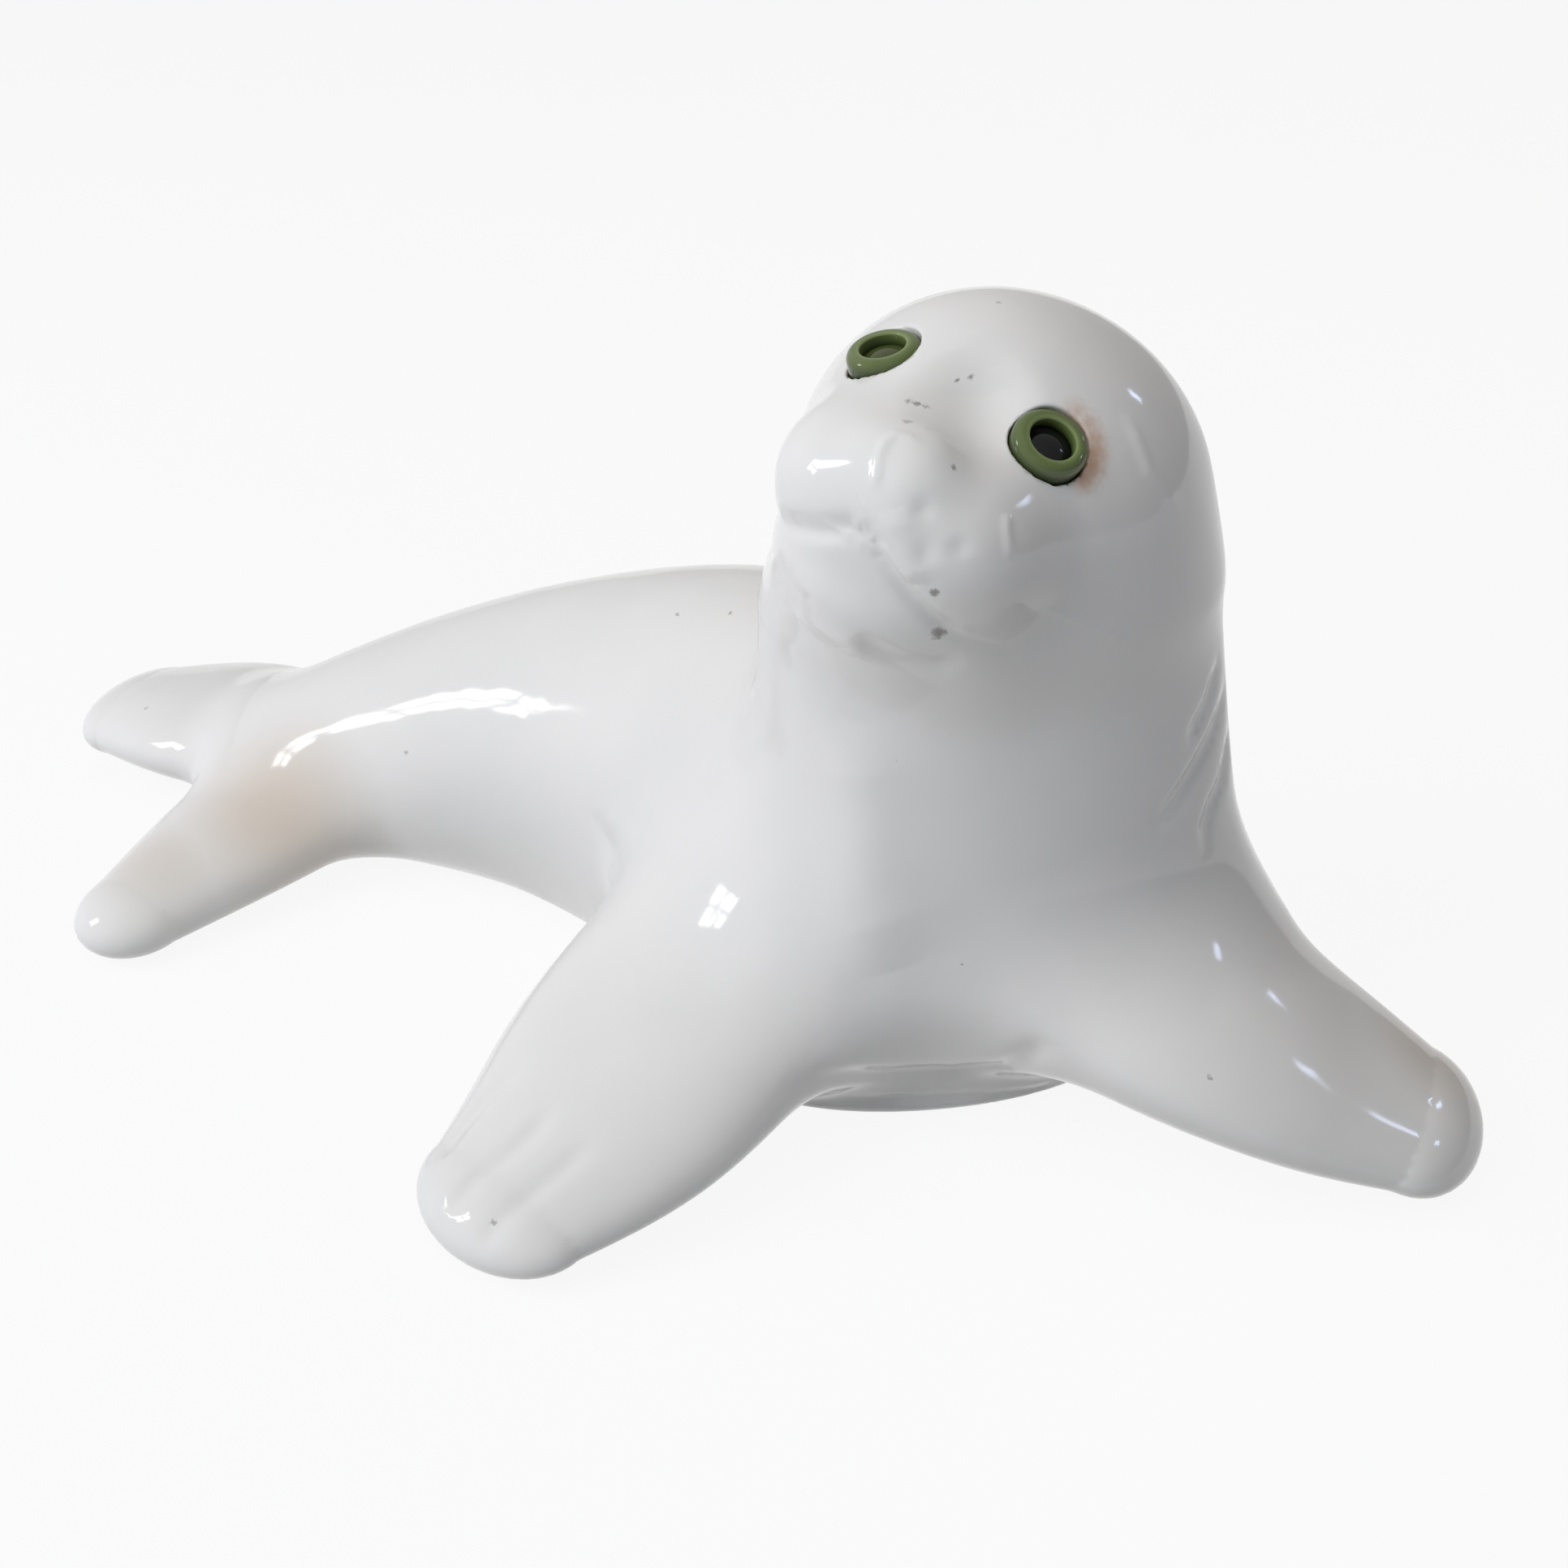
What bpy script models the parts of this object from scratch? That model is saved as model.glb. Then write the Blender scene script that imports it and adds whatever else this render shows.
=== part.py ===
"""Seal pup figurine: one glazed ceramic casting lying on its flat base, with two glass eyes let into the head.

The tables are in millimetres and the meshes in metres. +Z is up, the chest faces -Y, the seal's left is +X,
and the origin is on the flat base, under the middle of the chest.

The body is built as a modeller in clay would: lofted limbs and rounded masses are pushed into each other,
one skin is drawn over them, and that skin is settled onto a surface which blends each pair with its own
fillet. The face is worked into the same surface. Then the flat base, the vent and the eye sockets are cut.
"""

import math

import bmesh
import bpy
import numpy as np
from mathutils import Matrix, Vector

MM = 0.001

# Clearance round each piece that is let into another
SEAT_GAP = 0.3

# Glass eyes: a green ring with a rounded shoulder, let into the head, and a black disc on the floor of its well
EYE_RADIUS = 7.4
EYE_STANDOUT = 1.2
EYE_DEPTH = 4.5
EYE_SHOULDER = 1.6
WELL_RADIUS = 4.3
WELL_LIP = 0.5
PUPIL_SINK = 2.6
PUPIL_THICKNESS = 1.2
PUPIL_DOME = 0.4
EYE_STEPS = 28

# Vent of the hollow casting, under the belly
VENT_RADIUS = 5.0
VENT_DEPTH = 6.0
VENT_PLACE = (-62.0, 74.0)

# Base: how far the rounded edge is drawn under the plane on which the base is then cut
BASE_EDGE = 2.0
BASE_UNDERCUT = 0.5

# Limbs, a row for each station: x, y, z, half width, half height, and how far its side is turned about Z
TRUNK = (
    (-2, -10, 26, 47, 46, 0),
    (-14, 26, 32, 50, 54, 16),
    (-44, 63, 32, 47, 51, 40),
    (-82, 86, 30, 39, 39, 58),
    (-120, 100, 24, 31, 28, 72),
    (-152, 112, 17, 23, 18, 76),
)
TRUNK_ENDS = (28, 16)
NECK = (
    (8, -12, 36, 58, 38, 0),
    (8, -8, 78, 50, 38, 0),
    (6.5, -7, 108, 47, 38, 0),
)
NECK_ENDS = (24, 28)

# Flippers lie flat, so their rows need no turn: x, y, z, half width, half thickness
FRONT_RIGHT = (
    (-28, -2, 34, 39, 26),
    (-55, -23, 25, 34.5, 18),
    (-80.5, -48.5, 15, 30, 12),
    (-98.5, -63, 9, 22, 8.5),
)
FRONT_LEFT = (
    (22, -14, 36, 35, 24),
    (49, -42, 27, 36, 17),
    (73, -56, 16, 30, 12),
    (88, -64, 10, 23, 9),
)
REAR_RIGHT = (
    (-138, 99, 17, 26, 15),
    (-161, 78, 12, 22, 11),
    (-183, 55, 8, 14, 8),
)
REAR_LEFT = (
    (-140, 115, 18, 22, 14),
    (-166, 132, 17.5, 27, 12),
    (-189, 148, 14, 21, 9),
)
FRONT_ENDS = (10, 15)
REAR_ENDS = (8, 15)

# The foot on which the chest stands
FOOT_CENTRE = (-3, 1, 5)
FOOT_RADII = (54, 39.5, 11)

# Head: its place, and how it is turned to the seal's right, raised and tilted, in degrees
HEAD_CENTRE = (8.5, -6, 130)
HEAD_YAW = -36
HEAD_PITCH = 24
HEAD_TILT = -18

# Rounded masses of the head, each a centre and its half sizes to the left, forward and up
SKULL = ((0, 0, 0), (42, 42, 38.5))
SNOUT = ((0, 26, -8), (26, 28, 20))
JAW = ((0, 24, -23), (26, 21, 14))
CHIN = ((0, 36, -25), (15, 13, 8.5))
WHISKER_PAD = ((10, 41, -8), (15, 12, 11))
NOSE = ((0, 50, -1), (8, 5, 5.5))

# The dip between the eyes, where the forehead runs down into the snout
BROW_DIP = ((1, 47, 22), (13, 9, 9))

# The mouth's line as seen from the front, left and up, from its middle to its corner, and the groove along it
MOUTH = ((0, -12), (4, -16), (9, -19.5), (15, -21.5), (21, -21.5), (27, -19))
MOUTH_DEPTH = 1.0
MOUTH_WIDTH = 2.2
MOUTH_FADE = 5.0
MOUTH_BACK = 15.0
MOUTH_BACK_FADE = 10.0

# Where the eyes sit and where they look, both from the middle of the head
RIGHT_EYE_SEAT = (-21.8, 31.5, 14.2)
RIGHT_EYE_LOOK = (-0.35, 0.61, 0.71)
LEFT_EYE_SEAT = (16.5, 36, 15.6)
LEFT_EYE_LOOK = (0.29, 0.63, 0.72)

# Size of the fillet with which each mass runs into the rest
NECK_FILLET = 20
FLIPPER_FILLET = 18
FOOT_FILLET = 8
FORK_FILLET = 5
TAIL_FILLET = 10
HEAD_FILLET = 12
SNOUT_FILLET = 14
JAW_FILLET = 10
CHIN_FILLET = 6
PAD_FILLET = 12
NOSE_FILLET = 8
BROW_FILLET = 6

# Fineness of the skin that is drawn over the masses, and faces left on it
SKIN_CELL = 2.2
SKIN_FACES = 10000


# Smooth curves through stations

def natural_cubic(knots, values):
    """Coefficients of the natural cubic spline through one row of values for each knot."""
    count = len(knots)
    step = np.diff(knots)
    matrix = np.eye(count)
    right = np.zeros((count, values.shape[1]))
    slope = np.diff(values, axis=0) / step[:, None]
    for i in range(1, count - 1):
        matrix[i, i - 1:i + 2] = step[i - 1], 2 * (step[i - 1] + step[i]), step[i]
        right[i] = 6 * (slope[i] - slope[i - 1])
    bend = np.linalg.solve(matrix, right)
    width = step[:, None]
    linear = slope - width * (2 * bend[:-1] + bend[1:]) / 6
    return np.stack([values[:-1], linear, bend[:-1] / 2, (bend[1:] - bend[:-1]) / (6 * width)], 1)


def unit(vectors):
    return vectors / np.linalg.norm(vectors, axis=-1, keepdims=True)


def ellipsoid(points, radii):
    """Distance to an ellipsoid round the origin, exact on its surface and close to it nearby."""
    radii = np.asarray(radii, float)
    near = np.linalg.norm(points / radii, axis=-1)
    steep = np.linalg.norm(points / radii ** 2, axis=-1)
    return near * (near - 1) / np.maximum(steep, 1e-9)


class Limb:
    """A bent body of oval section, with rounded ends, that follows a smooth curve through its stations."""

    def __init__(self, stations, ends):
        rows = np.array(stations, float)
        self.flat = rows.shape[1] == 5
        self.ends = ends
        along = np.linalg.norm(np.diff(rows[:, :3], axis=0), axis=1)
        self.knots = np.concatenate([[0], np.cumsum(along)])
        self.pieces = natural_cubic(self.knots, rows)
        self.samples = np.linspace(0, self.knots[-1], 40)
        self.sample_points = self.at(self.samples)[0][:, :3]

    def at(self, where):
        """The curve's values, their slopes and their bends at these lengths along it."""
        span = np.clip(np.searchsorted(self.knots, where, side="right") - 1, 0, len(self.knots) - 2)
        x = (where - self.knots[span])[:, None]
        a, b, c, d = np.moveaxis(self.pieces[span], 1, 0)
        return ((d * x + c) * x + b) * x + a, (3 * d * x + 2 * c) * x + b, 6 * d * x + 2 * c

    def frame(self, values, slopes):
        """Direction along the limb, and its sideways and upward directions."""
        along = unit(slopes[:, :3])
        if self.flat:
            side = np.cross(along, (0, 0, 1))
        else:
            turn = np.radians(values[:, 5])
            side = np.stack([np.cos(turn), np.sin(turn), np.zeros_like(turn)], 1)
        side = unit(side - (side * along).sum(1)[:, None] * along)
        return along, side, np.cross(side, along)

    def nearest(self, points):
        """Length along the curve at which it passes closest to each point."""
        gap = (self.sample_points ** 2).sum(1) - 2 * points @ self.sample_points.T
        where = self.samples[gap.argmin(1)]
        for _ in range(3):
            values, slopes, bends = self.at(where)
            back = values[:, :3] - points
            speed = (slopes[:, :3] ** 2).sum(1)
            curve = np.maximum(speed + (back * bends[:, :3]).sum(1), 0.3 * speed)
            where = np.clip(where - (back * slopes[:, :3]).sum(1) / curve, 0, self.knots[-1])
        return where

    def distance(self, points):
        where = self.nearest(points)
        values, slopes, _ = self.at(where)
        along, side, up = self.frame(values, slopes)
        off = points - values[:, :3]
        end = np.where(where < self.knots[-1] / 2, *self.ends)
        local = np.stack([(off * side).sum(1), (off * up).sum(1), (off * along).sum(1)], 1)
        return ellipsoid(local, np.stack([values[:, 3], values[:, 4], end], 1))

    def loft(self, mesh, rings=14, sides=20):
        """Adds the limb to a bmesh as rings of its section, closed over both rounded ends."""
        caps = np.radians([75, 50, 25])
        where = np.linspace(0, self.knots[-1], rings)
        first = [(0.0, -self.ends[0] * math.sin(a), math.cos(a)) for a in caps]
        last = [(self.knots[-1], self.ends[1] * math.sin(a), math.cos(a)) for a in caps[::-1]]
        rows = first + [(w, 0.0, 1.0) for w in where] + last
        angles = np.linspace(0, math.tau, sides, endpoint=False)
        loops = []
        for length, beyond, size in rows:
            values, slopes, _ = self.at(np.array([length]))
            along, side, up = self.frame(values, slopes)
            middle = values[0, :3] + beyond * along[0]
            across = size * values[0, 3] * np.cos(angles)[:, None] * side[0]
            upward = size * values[0, 4] * np.sin(angles)[:, None] * up[0]
            loops.append([mesh.verts.new(p * MM) for p in middle + across + upward])
        for one, two in zip(loops, loops[1:]):
            for i in range(sides):
                j = (i + 1) % sides
                mesh.faces.new((one[i], one[j], two[j], two[i]))
        mesh.faces.new(loops[0][::-1])
        mesh.faces.new(loops[-1])


trunk = Limb(TRUNK, TRUNK_ENDS)
neck = Limb(NECK, NECK_ENDS)
front_flippers = [Limb(rows, FRONT_ENDS) for rows in (FRONT_RIGHT, FRONT_LEFT)]
rear_flippers = [Limb(rows, REAR_ENDS) for rows in (REAR_RIGHT, REAR_LEFT)]


# The head's own directions, as rows: its left, forward and up

def head_frame():
    yaw, pitch, tilt = np.radians([HEAD_YAW, HEAD_PITCH, HEAD_TILT])
    forward = np.array([math.sin(yaw) * math.cos(pitch), -math.cos(yaw) * math.cos(pitch), math.sin(pitch)])
    level = np.array([math.cos(yaw), math.sin(yaw), 0])
    up = np.cross(level, -forward)
    left = level * math.cos(tilt) + up * math.sin(tilt)
    return np.stack([left, forward, np.cross(left, -forward)])


HEAD_AXES = head_frame()
PAD_CENTRES = (WHISKER_PAD[0], (-WHISKER_PAD[0][0], *WHISKER_PAD[0][1:]))


def blend(one, two, fillet):
    """The union of two bodies, with a fillet where they meet."""
    share = np.clip(0.5 + 0.5 * (two - one) / fillet, 0, 1)
    return two * (1 - share) + one * share - fillet * share * (1 - share)


def line_distance(points, line):
    """Distance to a line of several points, and how far along it the closest place is, from 0 to 1."""
    line = np.array(line, float)
    best = np.full(len(points), np.inf)
    place = np.zeros(len(points))
    for i, (start, end) in enumerate(zip(line, line[1:])):
        run = end - start
        share = np.clip((points - start) @ run / (run @ run), 0, 1)
        gap = np.linalg.norm(points - start - share[:, None] * run, axis=1)
        closer = gap < best
        best[closer] = gap[closer]
        place[closer] = (i + share[closer]) / (len(line) - 1)
    return best, place


def head_distance(points):
    local = (points - HEAD_CENTRE) @ HEAD_AXES.T
    skin = ellipsoid(local - SKULL[0], SKULL[1])
    skin = blend(skin, ellipsoid(local - SNOUT[0], SNOUT[1]), SNOUT_FILLET)
    skin = blend(skin, ellipsoid(local - JAW[0], JAW[1]), JAW_FILLET)
    skin = blend(skin, ellipsoid(local - CHIN[0], CHIN[1]), CHIN_FILLET)
    for centre in PAD_CENTRES:
        skin = blend(skin, ellipsoid(local - centre, WHISKER_PAD[1]), PAD_FILLET)
    skin = blend(skin, ellipsoid(local - NOSE[0], NOSE[1]), NOSE_FILLET)
    skin = -blend(-skin, ellipsoid(local - BROW_DIP[0], BROW_DIP[1]), BROW_FILLET)
    front = np.stack([np.abs(local[:, 0]), local[:, 2]], 1)
    gap, place = line_distance(front, MOUTH)
    corner = np.clip((1 - place) * MOUTH_FADE, 0, 1)
    forward = np.clip((local[:, 1] - MOUTH_BACK) / MOUTH_BACK_FADE, 0, 1)
    return skin + MOUTH_DEPTH * np.exp(-(gap / MOUTH_WIDTH) ** 2) * corner * forward


def body_distance(points):
    """How far each point is outside the finished skin, or below 0 inside it."""
    skin = blend(trunk.distance(points), neck.distance(points), NECK_FILLET)
    for flipper in front_flippers:
        skin = blend(skin, flipper.distance(points), FLIPPER_FILLET)
    fork = blend(rear_flippers[0].distance(points), rear_flippers[1].distance(points), FORK_FILLET)
    skin = blend(skin, fork, TAIL_FILLET)
    skin = blend(skin, ellipsoid(points - FOOT_CENTRE, FOOT_RADII), FOOT_FILLET)
    skin = blend(skin, head_distance(points), HEAD_FILLET)
    return -blend(-skin, points[:, 2] + BASE_UNDERCUT, BASE_EDGE)


def slope_of(points, reach=0.05):
    """Direction and rate in which body_distance grows."""
    steps = np.eye(3) * reach
    return np.stack([body_distance(points + s) - body_distance(points - s) for s in steps], 1) / (2 * reach)


def settle(points, rounds):
    """Moves points onto the finished skin along its slope."""
    for _ in range(rounds):
        slope = slope_of(points)
        gap = np.clip(body_distance(points), -2, 2)
        points = points - (gap / np.maximum((slope ** 2).sum(1), 0.2))[:, None] * slope
    return points


# Blender objects

def new_object(name, mesh):
    obj = bpy.data.objects.new(name, mesh)
    bpy.context.scene.collection.objects.link(obj)
    return obj


def from_bmesh(name, mesh):
    bmesh.ops.recalc_face_normals(mesh, faces=mesh.faces)
    data = bpy.data.meshes.new(name)
    mesh.to_mesh(data)
    mesh.free()
    return new_object(name, data)


def guide(obj):
    obj.hide_render = True
    obj.display_type = "WIRE"
    return obj


def evaluated(obj, name):
    """A new mesh of the object with its modifiers, in its own coordinates."""
    graph = bpy.context.evaluated_depsgraph_get()
    mesh = bpy.data.meshes.new_from_object(obj.evaluated_get(graph))
    mesh.name = name
    return mesh


def points_of(mesh):
    flat = np.empty(len(mesh.vertices) * 3)
    mesh.vertices.foreach_get("co", flat)
    return flat.reshape(-1, 3) / MM


def move_points(mesh, points):
    mesh.vertices.foreach_set("co", (points * MM).ravel())
    mesh.update()


def relax(mesh, points):
    """Each point at the middle of its neighbours, which evens out the skin's cells."""
    ends = np.empty(len(mesh.edges) * 2, np.int64)
    mesh.edges.foreach_get("vertices", ends)
    ends = ends.reshape(-1, 2)
    total = np.zeros_like(points)
    count = np.zeros(len(points))
    for one, two in ((0, 1), (1, 0)):
        np.add.at(total, ends[:, one], points[ends[:, two]])
        np.add.at(count, ends[:, one], 1)
    return total / count[:, None]


def material(name, colour, roughness, **more):
    made = bpy.data.materials.new(name)
    made.use_nodes = True
    shader = made.node_tree.nodes["Principled BSDF"]
    shader.inputs["Base Color"].default_value = (*colour, 1)
    shader.inputs["Roughness"].default_value = roughness
    for socket, value in more.items():
        shader.inputs[socket.replace("_", " ")].default_value = value
    made.diffuse_color = (*colour, 1)
    return made


# Clear the scene

for old in list(bpy.data.objects):
    bpy.data.objects.remove(old, do_unlink=True)


# Rough masses of the body, pushed into each other

rough = bmesh.new()
for limb in (trunk, neck, *front_flippers, *rear_flippers):
    limb.loft(rough)


def add_ellipsoid(mesh, centre, radii, place=Matrix.Identity(4)):
    shape = Matrix.Translation(Vector(centre) * MM) @ Matrix.Diagonal((*(Vector(radii) * MM), 1))
    bmesh.ops.create_uvsphere(mesh, u_segments=32, v_segments=20, radius=1, matrix=place @ shape)


head_place = Matrix.Translation(Vector(HEAD_CENTRE) * MM) @ Matrix(HEAD_AXES.T).to_4x4()
add_ellipsoid(rough, FOOT_CENTRE, FOOT_RADII)
for centre, radii in (SKULL, SNOUT, JAW, CHIN, NOSE):
    add_ellipsoid(rough, centre, radii, head_place)
for centre in PAD_CENTRES:
    add_ellipsoid(rough, centre, WHISKER_PAD[1], head_place)
masses = guide(from_bmesh("masses", rough))

# One skin over them, settled onto the blended surface

remesh = masses.modifiers.new("skin", "REMESH")
remesh.mode = "VOXEL"
remesh.voxel_size = SKIN_CELL * MM
skin_mesh = evaluated(masses, "skin")
skin_points = settle(points_of(skin_mesh), 3)
for _ in range(3):
    skin_points = settle(relax(skin_mesh, skin_points), 1)
move_points(skin_mesh, skin_points)
skin = guide(new_object("skin", skin_mesh))

# Fewer faces, kept where the form bends most

thin = skin.modifiers.new("fewer_faces", "DECIMATE")
thin.ratio = min(1.0, SKIN_FACES / (2 * len(skin_mesh.polygons)))
thin.use_collapse_triangulate = True
body_mesh = evaluated(skin, "seal_body")
move_points(body_mesh, settle(points_of(body_mesh), 2))
body = new_object("seal_body", body_mesh)


# The eyes: where each one sits on the skin, and the way it looks

def eye_place(seat, look):
    """Frame of an eye: its origin on the skin, in the seat's direction from the head's middle, Z looking out."""
    line = unit(np.array(seat, float)) @ HEAD_AXES
    near, far = 0.0, 2 * max(SKULL[1])
    for _ in range(40):
        middle = (near + far) / 2
        inside = body_distance((HEAD_CENTRE + middle * line)[None])[0] < 0
        near, far = (middle, far) if inside else (near, middle)
    direction = Vector(unit(np.array(look, float)) @ HEAD_AXES)
    turn = direction.to_track_quat("Z", "Y").to_matrix().to_4x4()
    return Matrix.Translation(Vector(HEAD_CENTRE + near * line) * MM) @ turn


def turned(name, profile, place, steps=EYE_STEPS):
    """A solid of revolution about Z from (radius, height) pairs, which start and end on the axis."""
    mesh = bmesh.new()
    line = [mesh.verts.new((r * MM, 0, z * MM)) for r, z in profile]
    edges = [mesh.edges.new(pair) for pair in zip(line, line[1:])]
    bmesh.ops.spin(mesh, geom=line + edges, axis=(0, 0, 1), cent=(0, 0, 0), steps=steps, angle=math.tau)
    bmesh.ops.remove_doubles(mesh, verts=mesh.verts, dist=1e-6)
    obj = from_bmesh(name, mesh)
    obj.data.shade_smooth()
    obj.data.set_sharp_from_angle(angle=math.radians(40))
    obj.matrix_world = place
    return obj


def arc(centre, radius, start, end, count):
    """Points of a circular arc in (radius, height), between two angles in degrees."""
    angles = np.radians(np.linspace(start, end, count))
    return [(centre[0] + radius * math.cos(a), centre[1] + radius * math.sin(a)) for a in angles]


disc_top = EYE_STANDOUT - PUPIL_SINK
disc_foot = disc_top - PUPIL_THICKNESS
ring_profile = [
    (0, disc_foot - SEAT_GAP),
    (WELL_RADIUS, disc_foot - SEAT_GAP),
    *arc((WELL_RADIUS + WELL_LIP, EYE_STANDOUT - WELL_LIP), WELL_LIP, 180, 90, 3),
    *arc((EYE_RADIUS - EYE_SHOULDER, EYE_STANDOUT - EYE_SHOULDER), EYE_SHOULDER, 90, 0, 5),
    (EYE_RADIUS, -EYE_DEPTH),
    (0, -EYE_DEPTH),
]

# The disc's face is part of a sphere through its rim and its top
disc_radius = WELL_RADIUS - SEAT_GAP
face_radius = (disc_radius ** 2 + PUPIL_DOME ** 2) / (2 * PUPIL_DOME)
face_angle = math.degrees(math.asin(disc_radius / face_radius))
face_centre = (0, disc_top + PUPIL_DOME - face_radius)
disc_profile = [
    (0, disc_foot),
    (disc_radius, disc_foot),
    *arc(face_centre, face_radius, 90 - face_angle, 90, 4)[:-1],
    (0, disc_top + PUPIL_DOME),
]

socket_profile = [
    (0, -EYE_DEPTH - SEAT_GAP),
    (EYE_RADIUS + SEAT_GAP, -EYE_DEPTH - SEAT_GAP),
    (EYE_RADIUS + SEAT_GAP, EYE_DEPTH),
    (0, EYE_DEPTH),
]

glaze = material("glazed_ceramic", (0.80, 0.80, 0.78), 0.12, Coat_Weight=0.6, Coat_Roughness=0.04)
green_glass = material("green_glass", (0.11, 0.16, 0.045), 0.12)
black_glass = material("black_glass", (0.008, 0.009, 0.012), 0.05)

cutters = []
for side, seat, look in (("right", RIGHT_EYE_SEAT, RIGHT_EYE_LOOK), ("left", LEFT_EYE_SEAT, LEFT_EYE_LOOK)):
    place = eye_place(seat, look)
    ring = turned(f"eye_{side}_iris", ring_profile, place)
    ring.data.materials.append(green_glass)
    pupil = turned(f"eye_{side}_pupil", disc_profile, place)
    pupil.data.materials.append(black_glass)
    cutters.append(guide(turned(f"socket_{side}", socket_profile, place)))

# Vent, and the block that leaves the base flat

vent_profile = [(0, -VENT_DEPTH), (VENT_RADIUS, -VENT_DEPTH), (VENT_RADIUS, VENT_DEPTH), (0, VENT_DEPTH)]
vent_place = Matrix.Translation(Vector((*VENT_PLACE, 0)) * MM)
cutters.append(guide(turned("vent", vent_profile, vent_place)))
reach = 2 * float(np.abs(points_of(body_mesh)).max()) * MM
block = bmesh.new()
bmesh.ops.create_cube(block, size=1, matrix=Matrix.Translation((0, 0, -reach / 2)) @ Matrix.Scale(reach, 4))
cutters.insert(0, guide(from_bmesh("ground_block", block)))

for cutter in cutters:
    cut = body.modifiers.new(cutter.name, "BOOLEAN")
    cut.operation = "DIFFERENCE"
    cut.object = cutter
body.data.materials.append(glaze)
body.data.shade_smooth()
body.data.set_sharp_from_angle(angle=math.radians(50))
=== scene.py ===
# %% [markdown]
# # A glazed ceramic seal pup with glass eyes
#
# The object is a hollow figurine, cast in liquid clay, fired white and dipped in a clear, very glossy glaze. Two
# glass eyes are glued into round sockets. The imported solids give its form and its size. This lesson dresses them:
# it draws a finer skin over the casting, turns finer eyes, and gives each its real finish.

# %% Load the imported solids
import math

import bmesh
import bpy
import numpy as np
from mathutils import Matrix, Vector


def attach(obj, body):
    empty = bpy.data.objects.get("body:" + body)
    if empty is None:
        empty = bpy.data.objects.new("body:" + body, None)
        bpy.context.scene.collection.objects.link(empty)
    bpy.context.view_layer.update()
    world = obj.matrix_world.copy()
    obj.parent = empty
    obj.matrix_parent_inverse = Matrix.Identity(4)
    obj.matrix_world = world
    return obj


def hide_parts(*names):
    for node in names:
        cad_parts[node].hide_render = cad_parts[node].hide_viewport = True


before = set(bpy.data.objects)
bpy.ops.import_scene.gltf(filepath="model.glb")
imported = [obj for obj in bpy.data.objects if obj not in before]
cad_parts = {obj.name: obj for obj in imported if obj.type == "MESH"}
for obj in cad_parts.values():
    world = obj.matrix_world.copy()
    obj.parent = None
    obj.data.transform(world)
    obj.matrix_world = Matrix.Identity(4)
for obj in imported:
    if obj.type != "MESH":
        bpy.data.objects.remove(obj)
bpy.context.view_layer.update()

MM = 0.001
print("solids:", sorted(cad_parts))

# %% [markdown]
# ## Camera
#
# The picture was taken from the seal's front, a little to its right and well above it. A camera that stands half a
# metre away with a 50 mm lens gives the same foreshortening, so near flippers look large beside the tail.

# %% Camera at the photograph's viewing angle
VIEW_AZIMUTH, VIEW_HEIGHT = math.radians(-8), math.radians(30)
VIEW_TARGET = Vector((-33.67, 4.73, 60)) * MM
VIEW_DISTANCE = 470 * MM

toward_camera = Vector((
    math.sin(VIEW_AZIMUTH) * math.cos(VIEW_HEIGHT),
    -math.cos(VIEW_AZIMUTH) * math.cos(VIEW_HEIGHT),
    math.sin(VIEW_HEIGHT),
))
camera_data = bpy.data.cameras.new("camera")
camera_data.lens = 50
camera_data.sensor_width = 36
camera = bpy.data.objects.new("camera", camera_data)
camera.location = VIEW_TARGET + toward_camera * VIEW_DISTANCE
camera.rotation_euler = toward_camera.to_track_quat("Z", "Y").to_euler()
bpy.context.scene.collection.objects.link(camera)
bpy.context.scene.camera = camera
bpy.context.scene.view_settings.view_transform = "Standard"
print("camera at", [round(v, 3) for v in camera.location])

# %% [markdown]
# ## Helpers for materials
#
# Colours are written as the sRGB hex values that a paint program shows, and one function turns them into the
# linear values that shaders work in. A second function adds a node with its settings and its links.

# %% Colour and node helpers
def linear(hex_colour, alpha=1.0):
    """Each channel c from 0 to 1 becomes ((c + 0.055) / 1.055) to the power 2.4, or c / 12.92 where it is dark."""
    channels = [int(hex_colour[i:i + 2], 16) / 255 for i in (1, 3, 5)]
    return (*[c / 12.92 if c <= 0.04045 else ((c + 0.055) / 1.055) ** 2.4 for c in channels], alpha)


def add(tree, kind, settings=None, links=None):
    """Adds a node. Settings are its options or the constants of its inputs, links join its inputs to outputs."""
    node = tree.nodes.new(kind)
    for key, value in (settings or {}).items():
        if isinstance(key, int) or key in node.inputs:
            node.inputs[key].default_value = value
        else:
            setattr(node, key, value)
    for key, output in (links or {}).items():
        tree.links.new(output, node.inputs[key])
    return node


def new_material(name):
    """An empty material, and its tree and surface output."""
    material = bpy.data.materials.new(name)
    material.use_nodes = True
    tree = material.node_tree
    tree.nodes.clear()
    return material, tree, tree.nodes.new("ShaderNodeOutputMaterial")


print("white glaze in linear light:", [round(c, 3) for c in linear("#E8E7E2")])

# %% [markdown]
# ## The casting's skin
#
# A modeller rolls the trunk, the neck and each flipper from clay, pushes them together and smooths every joint
# with a thumb. Subdivision cages or a sculpt could copy that, but here the skin is a formula: each limb is an oval
# section carried along a smooth curve, the head is made of ellipsoids, and a smooth minimum joins them with a
# fillet of a chosen radius. The formula gives a distance to the skin anywhere in space, so folds and grooves are
# simply added to it, and every point can be moved exactly onto the glaze.

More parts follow.
